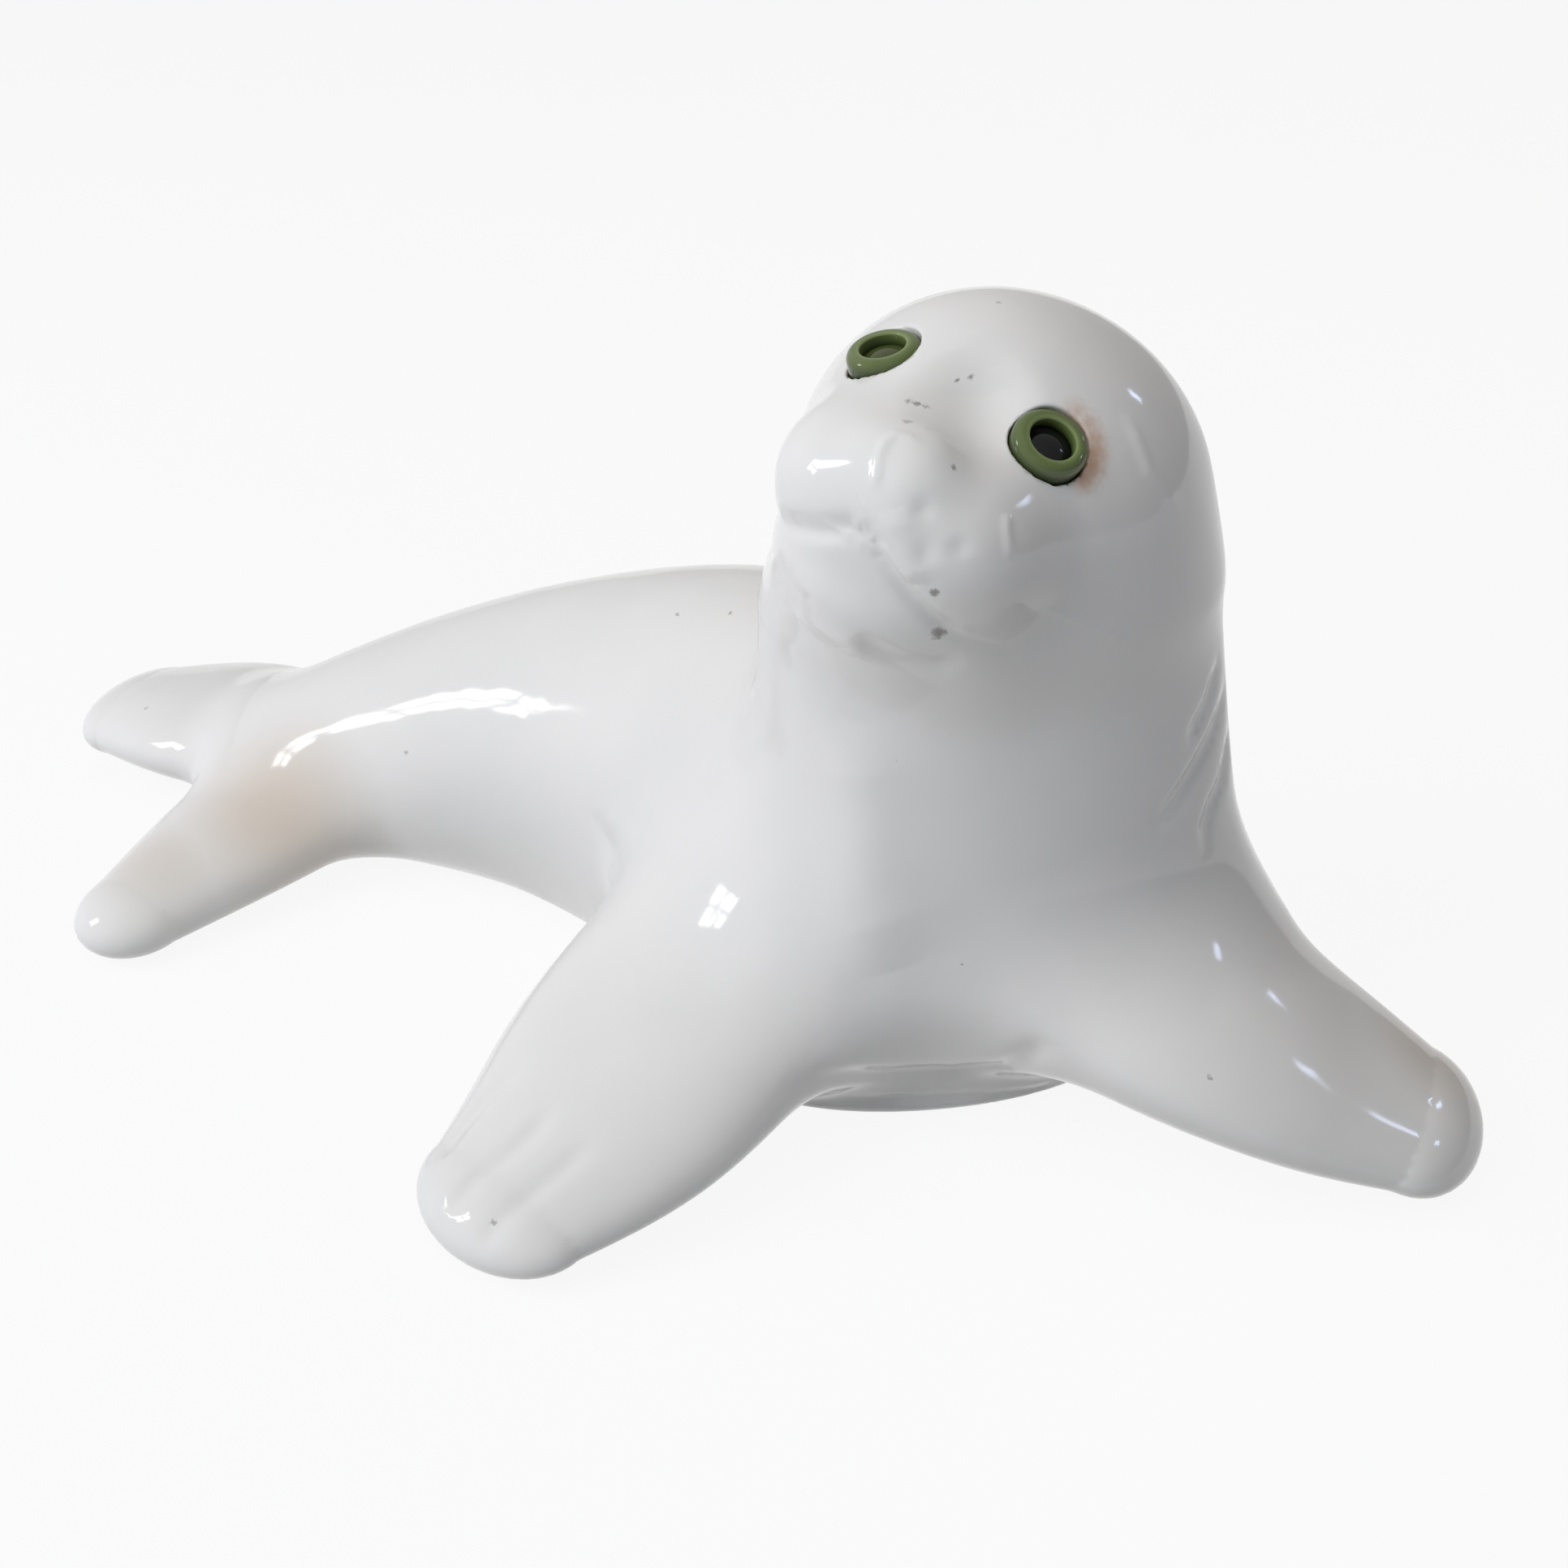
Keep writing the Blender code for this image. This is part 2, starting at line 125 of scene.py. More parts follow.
# %% Stations of the limbs
# x, y, z, half width, half height, turn of the section about Z, in millimetres and degrees
TRUNK = (
    (-2, -10, 26, 47, 46, 0),
    (-14, 26, 32, 50, 54, 16),
    (-44, 63, 32, 47, 51, 40),
    (-82, 86, 30, 39, 39, 58),
    (-120, 100, 24, 31, 28, 72),
    (-152, 112, 17, 23, 18, 76),
)
NECK = (
    (8, -12, 36, 58, 38, 0),
    (8, -8, 78, 50, 38, 0),
    (6.5, -7, 108, 47, 38, 0),
)
# Flippers lie flat: x, y, z, half width, half thickness
FRONT_RIGHT = ((-28, -2, 34, 39, 26), (-55, -23, 25, 34.5, 18), (-80.5, -48.5, 15, 30, 12), (-98.5, -63, 9, 22, 8.5))
FRONT_LEFT = ((22, -14, 36, 35, 24), (49, -42, 27, 36, 17), (73, -56, 16, 30, 12), (88, -64, 10, 23, 9))
REAR_RIGHT = ((-138, 99, 17, 26, 15), (-161, 78, 12, 22, 11), (-183, 55, 8, 14, 8))
REAR_LEFT = ((-140, 115, 18, 22, 14), (-166, 132, 17.5, 27, 12), (-189, 148, 14, 21, 9))


# %% A smooth curve through stations
def natural_cubic(knots, values):
    """Coefficients of the cubic spline whose bend is 0 at both ends, from the usual three-banded equations."""
    step = np.diff(knots)
    slope = np.diff(values, axis=0) / step[:, None]
    matrix, right = np.eye(len(knots)), np.zeros_like(values)
    for i in range(1, len(knots) - 1):
        matrix[i, i - 1:i + 2] = step[i - 1], 2 * (step[i - 1] + step[i]), step[i]
        right[i] = 6 * (slope[i] - slope[i - 1])
    bend = np.linalg.solve(matrix, right)
    width = step[:, None]
    linear_part = slope - width * (2 * bend[:-1] + bend[1:]) / 6
    return np.stack([values[:-1], linear_part, bend[:-1] / 2, (bend[1:] - bend[:-1]) / (6 * width)], 1)


def unit(vectors):
    """Each vector divided by its length."""
    return vectors / np.linalg.norm(vectors, axis=-1, keepdims=True)


def ellipsoid(points, radii):
    """k (k - 1) / g, where k is the length of p / r and g that of p / r squared: 0 on the surface, in millimetres."""
    radii = np.asarray(radii, float)
    near = np.linalg.norm(points / radii, axis=-1)
    steep = np.linalg.norm(points / radii ** 2, axis=-1)
    return near * (near - 1) / np.maximum(steep, 1e-9)


# %% Limbs of oval section
class Limb:
    """A point's nearest place on the curve gives a section, and the ellipsoid formula gives its distance to it."""

    def __init__(self, stations, ends):
        rows = np.array(stations, float)
        self.flat = rows.shape[1] == 5
        self.ends = ends
        along = np.linalg.norm(np.diff(rows[:, :3], axis=0), axis=1)
        self.knots = np.concatenate([[0], np.cumsum(along)])
        self.pieces = natural_cubic(self.knots, rows)
        self.samples = np.linspace(0, self.knots[-1], 40)
        self.sample_points = self.at(self.samples)[0][:, :3]

    def at(self, where):
        """Values, slopes and bends of the cubic at these lengths."""
        span = np.clip(np.searchsorted(self.knots, where, side="right") - 1, 0, len(self.knots) - 2)
        x = (where - self.knots[span])[:, None]
        a, b, c, d = np.moveaxis(self.pieces[span], 1, 0)
        return ((d * x + c) * x + b) * x + a, (3 * d * x + 2 * c) * x + b, 6 * d * x + 2 * c

    def nearest(self, points):
        """The best of forty samples, then three Newton steps towards a right angle between the curve and the gap."""
        gap = (self.sample_points ** 2).sum(1) - 2 * points @ self.sample_points.T
        where = self.samples[gap.argmin(1)]
        for _ in range(3):
            values, slopes, bends = self.at(where)
            back = values[:, :3] - points
            speed = (slopes[:, :3] ** 2).sum(1)
            curve = np.maximum(speed + (back * bends[:, :3]).sum(1), 0.3 * speed)
            where = np.clip(where - (back * slopes[:, :3]).sum(1) / curve, 0, self.knots[-1])
        return where

    def distance(self, points):
        """Distance to the oval section at the nearest place, with half an ellipsoid over each end."""
        where = self.nearest(points)
        values, slopes, _ = self.at(where)
        along = unit(slopes[:, :3])
        if self.flat:
            side = np.cross(along, (0, 0, 1))
        else:
            turn = np.radians(values[:, 5])
            side = np.stack([np.cos(turn), np.sin(turn), np.zeros_like(turn)], 1)
        side = unit(side - (side * along).sum(1)[:, None] * along)
        up = np.cross(side, along)
        off = points - values[:, :3]
        end = np.where(where < self.knots[-1] / 2, *self.ends)
        local = np.stack([(off * side).sum(1), (off * up).sum(1), (off * along).sum(1)], 1)
        return ellipsoid(local, np.stack([values[:, 3], values[:, 4], end], 1))


trunk, neck = Limb(TRUNK, (28, 16)), Limb(NECK, (24, 28))
front_flippers = [Limb(rows, (10, 15)) for rows in (FRONT_RIGHT, FRONT_LEFT)]
rear_flippers = [Limb(rows, (8, 15)) for rows in (REAR_RIGHT, REAR_LEFT)]
print("trunk curve:", round(trunk.knots[-1]), "mm long")

# %% [markdown]
# ## The head
#
# A seal pup's head is nearly a ball with a short, broad snout. It is turned to its right, raised and tilted, so it
# gets a frame of its own, with its left, forward and up directions as rows. Snout, jaw, chin, whisker pads and nose
# are ellipsoids in that frame, and one more is taken away between the eyes, where the brow runs down into the snout.

# %% The head's frame
HEAD_CENTRE = np.array([8.5, -6, 130])
HEAD_YAW, HEAD_PITCH, HEAD_TILT = np.radians([-36, 24, -18])


def head_frame():
    """Forward from yaw and pitch, left and up square to it, then both turned about it by the tilt."""
    forward = np.array([
        math.sin(HEAD_YAW) * math.cos(HEAD_PITCH),
        -math.cos(HEAD_YAW) * math.cos(HEAD_PITCH),
        math.sin(HEAD_PITCH),
    ])
    level = np.array([math.cos(HEAD_YAW), math.sin(HEAD_YAW), 0])
    left = level * math.cos(HEAD_TILT) + np.cross(level, -forward) * math.sin(HEAD_TILT)
    return np.stack([left, forward, np.cross(left, -forward)])


HEAD_AXES = head_frame()
print("the seal looks along", HEAD_AXES[1].round(2))

# %% Blends and grooves
def blend(one, two, fillet):
    """The lower of two distances, less a parabola that is fillet / 4 deep where they are equal."""
    share = np.clip(0.5 + 0.5 * (two - one) / fillet, 0, 1)
    return two * (1 - share) + one * share - fillet * share * (1 - share)


def carved(one, two, fillet):
    """The first body less the second: a blend of the two insides, turned round again."""
    return -blend(-one, two, fillet)


def line_distance(points, line):
    """Distance to the nearest of a line's segments, and how far along the line that is, from 0 to 1."""
    best, place = np.full(len(points), np.inf), np.zeros(len(points))
    for i, (start, end) in enumerate(zip(line, line[1:])):
        run = end - start
        share = np.clip((points - start) @ run / (run @ run), 0, 1)
        gap = np.linalg.norm(points - start - share[:, None] * run, axis=1)
        closer = gap < best
        best[closer], place[closer] = gap[closer], (i + share[closer]) / (len(line) - 1)
    return best, place


def groove(points, line, depth, width, fade=5.0):
    """depth times exp(-(d / width) squared) beside the line, fading to 0 at both ends. Only near points are worked."""
    line = np.array(line, float)
    near = ((points > line.min(0) - 3 * width) & (points < line.max(0) + 3 * width)).all(1)
    result = np.zeros(len(points))
    gap, place = line_distance(points[near], line)
    result[near] = depth * np.exp(-(gap / width) ** 2) * np.clip(fade * np.minimum(place, 1 - place), 0, 1)
    return result


# %% Forms and lines of the head
SKULL_RADII = (42, 42, 38.5)
# Ellipsoids blended on in turn: centre, radii and fillet
HEAD_FORMS = (
    ((0, 26, -8), (26, 28, 20), 14),  # snout
    ((0, 24, -23), (26, 21, 14), 10),  # jaw
    ((0, 36, -25), (15, 13, 8.5), 6),  # chin
    ((10, 41, -8), (15, 12, 11), 12),  # left whisker pad
    ((-10, 41, -8), (15, 12, 11), 12),  # right whisker pad
    ((0, 50, -1), (8, 5, 5.5), 8),  # nose
)
BROW_CENTRE, BROW_RADII, BROW_FILLET = (1, 47, 22), (15, 10.5, 10), 6
MOUTH_DEPTH, MOUTH_WIDTH = 1.1, 2.1
# The mouth's groove starts this far forward of the head's middle, and is full this much further on
MOUTH_START, MOUTH_RAMP = 15, 10
# The mouth's line as seen from the front, from its right corner to its left one: left, up
MOUTH = ((-32, -22), (-18.4, -20.5), (-8.4, -16.8), (-2.6, -13.4), (1.1, -13), (5.9, -15), (11.6, -18.3),
         (17, -20.6), (21, -21.4), (29, -20))
# Lines on the face, in its own directions, pressed in or (below 0) raised: points, depth, width, how fast they fade
FACE_LINES = (
    # The bridge of the nose, the hollow beside it, and the rim of the left whisker pad
    (((2, 44, 14), (3, 50, 9), (3.6, 55, 4), (4, 57, -2), (4, 56.5, -8), (3.5, 55, -12)), -0.55, 5.5, 5),
    (((-8.7, 33.1, 22.5), (-2.7, 35.4, 20.3), (1.8, 37.6, 16.6), (6.7, 41.7, 12.2), (11.1, 46.4, 7.6),
      (14.5, 50.2, 2.7)), 1.5, 7, 3),
    (((4, 57, -6), (9, 55.5, -12), (13, 52, -16)), -0.5, 3.5, 5),
    # Thick glaze round the nose
    (((-0.6, 57.5, -5.3), (-1.4, 57.5, -2.9), (-3.1, 56.7, 0.4), (-3.9, 55.4, 2.8), (-3.2, 53.9, 4.8),
      (-0.7, 53.6, 5.3), (2.1, 53.8, 5)), -0.42, 1.1, 6),
    # Thick glaze on both lips
    (((-9.5, 53.7, -15.7), (-5.1, 54.3, -14.9), (-1.4, 54.4, -14.3), (1.9, 54.1, -14.4), (4.6, 54, -14.9)),
     -0.4, 1.0, 6),
    (((-1.7, 54.9, -12.9), (-0.6, 55.9, -10.7), (0.9, 55.3, -11.8), (3, 54.8, -13.2)), -0.35, 1.0, 9),
    (((4.6, 55.6, -12.4), (7, 54.7, -14.2), (9.8, 53.6, -15.6), (12.4, 52.3, -16.7)), -0.35, 1.0, 6),
    # A run of glaze under the left eye
    (((19.4, 47.7, 2), (21.4, 48.1, -0.6), (24.2, 47.5, -4.7)), -0.35, 1.0, 5),
)
WHISKER_PITS = ((8.6, 56.2, -3.9), (16.9, 53.5, -6.5), (12.4, 55, -10.5))
PIT_DEPTH, PIT_RADIUS = 0.4, 2.0


# %% Distance to the head
def head_distance(points):
    """Skull and forms blended in turn, the brow carved out, then mouth, lines and whisker pits pressed in."""
    local = (points - HEAD_CENTRE) @ HEAD_AXES.T
    skin = ellipsoid(local, SKULL_RADII)
    for centre, radii, fillet in HEAD_FORMS:
        skin = blend(skin, ellipsoid(local - centre, radii), fillet)
    skin = carved(skin, ellipsoid(local - BROW_CENTRE, BROW_RADII), BROW_FILLET)
    forward = np.clip((local[:, 1] - MOUTH_START) / MOUTH_RAMP, 0, 1)
    skin += groove(local[:, [0, 2]], MOUTH, MOUTH_DEPTH, MOUTH_WIDTH) * forward
    for line in FACE_LINES:
        skin += groove(local, *line)
    for pit in WHISKER_PITS:
        skin += PIT_DEPTH * np.exp(-((local - pit) ** 2).sum(1) / PIT_RADIUS ** 2)
    return skin


# %% [markdown]
# ## The whole skin
#
# The trunk, neck, flippers, foot and head are blended with larger fillets. The base is ground flat, so everything
# under the table's plane is cut off with a small rounded edge, because glaze never leaves a sharp one.

# %% Folds of the skin
# A line on the skin, how deep it is pressed in (or raised, below 0), and how wide it is, in millimetres
FOLDS = (
    # Under the chin
    (((-36, -28.3, 116.4), (-32.9, -37.4, 117.8), (-28.1, -43.4, 116.9), (-26.1, -41.4, 112.6)), -0.7, 3.2),
    (((-28, -47, 120), (-24, -47.6, 117.6), (-19.5, -48.1, 115), (-13.6, -49.5, 114.1), (-8, -51.1, 115.7)), 0.7, 2.6),
    # The right shoulder, which rolls over the breast
    (((-28, -36, 96), (-26, -40.5, 78), (-25, -43.5, 61), (-19, -48, 46)), -1.5, 9),
    # On the left of the neck
    (((50.6, -23.3, 99.3), (47.2, -29.4, 92.1), (45.2, -31.7, 90), (41, -36, 86)), 1.0, 2.2),
    (((54.2, -18.4, 90.8), (49.5, -28.2, 84.7), (46.4, -32, 81.7), (38.7, -38.7, 74.2), (33.3, -41.8, 70.4)), 1.2, 2.4),
    (((56, -17, 79), (55.2, -21.7, 76.5), (52.7, -27.2, 71.9), (49.5, -31.6, 69.1), (47.9, -33.9, 65.6),
      (48.4, -36, 59.4)), 1.2, 2.4),
    # Beside the left eye, and a run of glaze on the jaw
    (((23.4, -33.8, 155.4), (27.4, -38.9, 146), (34.9, -37.6, 135.7)), -0.45, 1.6),
    (((6.5, -51.2, 125.4), (16, -48.6, 119.6), (26.3, -43.9, 113.1)), -0.3, 0.9),
    # Between the toes of the right flipper
    (((-112, -55, 12), (-108, -49.6, 15.4), (-101.1, -43, 19.8), (-92.5, -40.1, 24.9)), 0.8, 2.4),
    (((-110, -68, 11), (-103.4, -64, 16.5), (-95.1, -59.7, 20.1), (-86.7, -53.6, 24.5)), 0.8, 2.4),
    (((-105, -78, 10), (-99.1, -74.2, 14.5), (-89.3, -68.7, 18.8), (-79.3, -63.1, 23.2)), 0.6, 2.4),
    # Where the chest was joined to its foot
    (((-43.2, -56.7, 24.6), (-34, -51.8, 23.1), (-18.9, -44.2, 17), (-4.4, -42.5, 15), (4.7, -48, 19.1),
      (8.2, -56.7, 29.5), (11.6, -59, 34.1)), 1.2, 3.0),
    (((-30, -41, 7), (-17.7, -39, 6.3), (0.2, -39.4, 5.6), (15.4, -36.8, 3.7), (24, -38, 3)), 0.9, 1.6),
)


# %% Distance to the finished glaze
NECK_FILLET, FLIPPER_FILLET, FORK_FILLET, TAIL_FILLET, FOOT_FILLET, HEAD_FILLET = 20, 18, 5, 10, 8, 12
FOOT_CENTRE, FOOT_RADII, BASE_EDGE = (-3, 1, 5), (54, 39.5, 11), 1.5


def body_distance(points):
    """How far each point is outside the glaze, or below 0 inside it, in millimetres."""
    skin = blend(trunk.distance(points), neck.distance(points), NECK_FILLET)
    for flipper in front_flippers:
        skin = blend(skin, flipper.distance(points), FLIPPER_FILLET)
    fork = blend(*[flipper.distance(points) for flipper in rear_flippers], FORK_FILLET)
    skin = blend(skin, fork, TAIL_FILLET)
    skin = blend(skin, ellipsoid(points - FOOT_CENTRE, FOOT_RADII), FOOT_FILLET)
    skin = blend(skin, head_distance(points), HEAD_FILLET)
    for line in FOLDS:
        skin += groove(points, *line)
    return carved(skin, points[:, 2], BASE_EDGE)


# %% [markdown]
# ## Where the eyes sit
#
# Each socket is drilled square to the way its eye looks, not square to the skin. The eye's place on the skin is
# found by halving steps along a line from the middle of the head, so it stays on the surface whatever the head does.

# %% Eye frames
EYE_RADIUS, EYE_STANDOUT, EYE_DEPTH = 7.25, 1.2, 4.5
EYE_SEATS = {
    "right": ((-21.8, 31.5, 14.2), (-0.35, 0.61, 0.71)),
    "left": ((16.5, 36, 15.6), (0.29, 0.63, 0.72)),
}


def eye_frame(seat, look):
    """Origin on the skin along the seat's direction, and axes whose third one is the look."""
    line = unit(np.array(seat, float)) @ HEAD_AXES
    near, far = 0.0, 2.0 * max(SKULL_RADII)
    for _ in range(40):
        middle = (near + far) / 2
        inside = body_distance((HEAD_CENTRE + middle * line)[None])[0] < 0
        near, far = (middle, far) if inside else (near, middle)
    axis = unit(np.array(look, float)) @ HEAD_AXES
    turn = np.array(Vector(axis).to_track_quat("Z", "Y").to_matrix())
    return HEAD_CENTRE + near * line, turn


eyes = {side: eye_frame(*values) for side, values in EYE_SEATS.items()}
for side, (origin, turn) in eyes.items():
    print(side, "eye at", origin.round(1), "looks along", turn[:, 2].round(2))


# %% Sockets and vent
# Between a ring and its socket's wall and floor, and how round the socket's edge is
SOCKET_GAP, SOCKET_FLOOR_GAP, SOCKET_EDGE = 0.05, 0.3, 0.7
VENT_PLACE, VENT_RADIUS, VENT_DEPTH, VENT_EDGE = (-62, 74, 0), 5, 6, 1


def bore(points, origin, axis, radius, depth):
    """Distance to a round hole: the larger of how far a point is outside its radius and beyond its bottom."""
    off = points - origin
    along = off @ axis
    across = np.linalg.norm(off - along[:, None] * axis, axis=1)
    return np.maximum(across - radius, -along - depth)


def glaze_distance(points):
    """The skin less both sockets and the vent, whose edges the glaze has rounded."""
    skin = body_distance(points)
    for origin, turn in eyes.values():
        socket = bore(points, origin, turn[:, 2], EYE_RADIUS + SOCKET_GAP, EYE_DEPTH + SOCKET_FLOOR_GAP)
        skin = carved(skin, socket, SOCKET_EDGE)
    return carved(skin, bore(points, VENT_PLACE, np.array([0, 0, -1.0]), VENT_RADIUS, VENT_DEPTH), VENT_EDGE)


# %% [markdown]
# ## From the solid to a fine mesh
#
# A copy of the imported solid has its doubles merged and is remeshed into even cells. The face gets cells of half the
# size. Then each point slides down the slope of the formula until it lies on the glaze, and the formula's slope
# also gives the true normal there, which is what makes reflections run smoothly.

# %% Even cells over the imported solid
SKIN_CELL = 1.6
MAX_MOVE = 2  # mm that a point slides in one round


def coordinates(mesh):
    """All vertices as rows, in millimetres."""
    flat = np.empty(len(mesh.vertices) * 3, np.float32)
    mesh.vertices.foreach_get("co", flat)
    return flat.reshape(-1, 3).astype(float) / MM


def set_coordinates(mesh, points):
    """Puts rows in millimetres back into the mesh."""
    mesh.vertices.foreach_set("co", (points * MM).astype(np.float32).ravel())
    mesh.update()


def slope_of(points, value, reach=0.05):
    """Forward differences of the distance along X, Y and Z."""
    return np.stack([glaze_distance(points + step) - value for step in np.eye(3) * reach], 1) / reach


def settle(points, rounds):
    """Each round moves a point by its distance, at most MAX_MOVE, down the slope."""
    for _ in range(rounds):
        value = glaze_distance(points)
        slope = slope_of(points, value)
        move = np.clip(value, -MAX_MOVE, MAX_MOVE) / np.maximum((slope ** 2).sum(1), 0.2)
        points = points - move[:, None] * slope
    return points


def relax(mesh, points):
    """Each point at the average of the points it shares an edge with."""
    ends = np.empty(len(mesh.edges) * 2, np.int64)
    mesh.edges.foreach_get("vertices", ends)
    ends = ends.reshape(-1, 2)
    total, count = np.zeros_like(points), np.zeros(len(points))
    for one, two in ((0, 1), (1, 0)):
        np.add.at(total, ends[:, one], points[ends[:, two]])
        np.add.at(count, ends[:, one], 1)
    return total / count[:, None]


solid = bmesh.new()
solid.from_mesh(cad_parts["seal_body"].data)
bmesh.ops.remove_doubles(solid, verts=solid.verts, dist=1e-6)
copy_mesh = bpy.data.meshes.new("merged_solid")
solid.to_mesh(copy_mesh)
solid.free()
copy_object = bpy.data.objects.new("merged_solid", copy_mesh)
bpy.context.scene.collection.objects.link(copy_object)
remesh = copy_object.modifiers.new("even cells", "REMESH")
remesh.mode = "VOXEL"
remesh.voxel_size = SKIN_CELL * MM
skin_mesh = bpy.data.meshes.new_from_object(copy_object.evaluated_get(bpy.context.evaluated_depsgraph_get()))
skin_mesh.name = "glazed_casting"
bpy.data.objects.remove(copy_object)
points = settle(coordinates(skin_mesh), 3)
set_coordinates(skin_mesh, settle(relax(skin_mesh, points), 2))
print("even skin:", len(skin_mesh.vertices), "points")

# %% Finer cells on the face
FACE_BACK, FACE_HALF_WIDTH, FACE_BOTTOM = 18, 42, -40
fine = bmesh.new()
fine.from_mesh(skin_mesh)
local = (coordinates(skin_mesh) - HEAD_CENTRE) @ HEAD_AXES.T
on_face = (local[:, 1] > FACE_BACK) & (np.abs(local[:, 0]) < FACE_HALF_WIDTH) & (local[:, 2] > FACE_BOTTOM)
fine.verts.ensure_lookup_table()
face_edges = [e for e in fine.edges if on_face[e.verts[0].index] and on_face[e.verts[1].index]]
bmesh.ops.subdivide_edges(fine, edges=face_edges, cuts=1, use_grid_fill=True)
fine.to_mesh(skin_mesh)
fine.free()
points = settle(relax(skin_mesh, settle(coordinates(skin_mesh), 1)), 2)
set_coordinates(skin_mesh, points)
skin_mesh.shade_smooth()
normals = unit(slope_of(points, glaze_distance(points)))
skin_mesh.normals_split_custom_set_from_vertices(normals.tolist())
casting = bpy.data.objects.new("glazed_casting", skin_mesh)
bpy.context.scene.collection.objects.link(casting)
print("glaze skin:", len(skin_mesh.vertices), "points, box", points.min(0).round(1), points.max(0).round(1))

# %% [markdown]
# ## Glass eyes
#
# Such eyes are pressed glass: a thick green ring with a rounded shoulder, and a black pupil at the bottom of its
# well. Both are turned forms, so each is a profile of radius and height swept round the eye's own axis.

# %% Turned surfaces
def arc(centre, radius, start, end, count):
    """Points at equal angles, in degrees, on a circle in the plane of radius and height."""
    angles = np.radians(np.linspace(start, end, count))
    return [(centre[0] + radius * math.cos(a), centre[1] + radius * math.sin(a)) for a in angles]


def turned(name, profile, origin, turn, steps=96):
    """x = r cos a, y = r sin a, z = h for each pair (r, h) and each angle a, then placed by the eye's frame."""
    radius, height = np.array(profile, float).T
    angle = np.linspace(0, math.tau, steps, endpoint=False)[:, None]
    grid = np.stack([radius * np.cos(angle), radius * np.sin(angle), height + 0 * angle], -1)
    points = origin + grid.reshape(-1, 3) @ turn.T
    rows, count = steps, len(profile)
    a = (np.arange(rows)[:, None] * count + np.arange(count - 1)).ravel()
    b = (a + count) % (rows * count)
    faces = np.stack([a, b, b + 1, a + 1], 1)
    mesh = bpy.data.meshes.new(name)
    mesh.from_pydata((points * MM).tolist(), [], faces.tolist())
    for key, values in (("radius", radius + 0 * angle), ("height", height + 0 * angle)):
        mesh.attributes.new(key, "FLOAT", "POINT").data.foreach_set("value", values.ravel())
    mesh.attributes.new("axis", "FLOAT_VECTOR", "POINT").data.foreach_set("vector", np.tile(turn[:, 2], len(points)))
    clean = bmesh.new()
    clean.from_mesh(mesh)
    bmesh.ops.remove_doubles(clean, verts=clean.verts, dist=1e-7)
    bmesh.ops.recalc_face_normals(clean, faces=clean.faces)
    clean.to_mesh(mesh)
    clean.free()
    mesh.shade_smooth()
    mesh.set_sharp_from_angle(angle=math.radians(35))
    piece = bpy.data.objects.new(name, mesh)
    bpy.context.scene.collection.objects.link(piece)
    return piece


# %% Ring and pupil
WELL_RADIUS, WELL_FLOOR, WELL_LIP, SHOULDER = 4.4, -1.6, 0.5, 1.9
ring_profile = [
    (0, WELL_FLOOR),
    (WELL_RADIUS, WELL_FLOOR),
    *arc((WELL_RADIUS + WELL_LIP, EYE_STANDOUT - WELL_LIP), WELL_LIP, 180, 90, 8),
    *arc((EYE_RADIUS - SHOULDER, EYE_STANDOUT - SHOULDER), SHOULDER, 90, 0, 14),
    (EYE_RADIUS, -EYE_DEPTH),
    (0, -EYE_DEPTH),
]
PUPIL_LIFT, PUPIL_GAP, PUPIL_EDGE, PUPIL_DOME = 0.05, 0.06, 0.35, 1.2
PUPIL_RADIUS = WELL_RADIUS - PUPIL_GAP
pupil_profile = [
    (0, WELL_FLOOR + PUPIL_LIFT),
    (PUPIL_RADIUS, WELL_FLOOR + PUPIL_LIFT),
    *[(PUPIL_RADIUS * (1 - t), WELL_FLOOR + PUPIL_EDGE + PUPIL_DOME * (1 - (1 - t) ** 2))
      for t in np.linspace(0, 1, 12)],
]
rings, pupils = {}, {}
for side, (origin, turn) in eyes.items():
    rings[side] = turned(f"eye_ring_{side}", ring_profile, origin, turn)
    pupils[side] = turned(f"eye_black_{side}", pupil_profile, origin, turn)
print("eye ring:", len(rings["left"].data.vertices), "points; pupil:", len(pupils["left"].data.vertices))

# %% [markdown]
# ## White glaze over earthenware
#
# A tin-white glaze is a thin layer of glass, poured on and fired. It gives the eye three things: a soft white body,
# a mirror-like clear face whose reflections waver a little where the glaze ran, and small faults such as pinholes
# and grey specks. Where it is thin, at edges and flippers, the clay warms it to a pinkish buff.

# %% Glaze material
# Specks and pinholes: place, radius, strength
GLAZE_MARKS = (
    ((-16.3, -31.9, 159.4), 1.1, 0.6), ((-14.8, -32.6, 159), 1.2, 0.7), ((-13.3, -33.3, 158.6), 1.1, 0.6),
    ((-17.8, -39.4, 157.8), 1.1, 0.4), ((-11.4, -49.3, 152.8), 1, 0.6), ((-15.7, -56.6, 132.5), 1.2, 0.7),
    ((-13.6, -52.5, 122.8), 1.7, 0.7), ((-51.9, 48.3, 81.1), 0.8, 0.5), ((-40.8, 40.5, 84.4), 0.7, 0.5),
    ((-116.7, 65.9, 40.5), 0.9, 0.4), ((-186.5, 128.7, 24.7), 0.8, 0.4), ((-101.1, -74.2, 13.8), 1, 0.5),
    ((4.7, -9.8, 169.3), 0.9, 0.35), ((-18, -39.8, 89.8), 0.5, 0.6), ((-5.7, -50, 47.9), 0.5, 0.6),
    ((39.5, -72.8, 32.1), 0.7, 0.5),
)
# Where the glaze is thin and the clay warms it
TINTS = (((-150, 74, 22), 32, 0.65), ((94, -55, 18), 20, 0.45), ((-176, 62, 16), 20, 0.4))
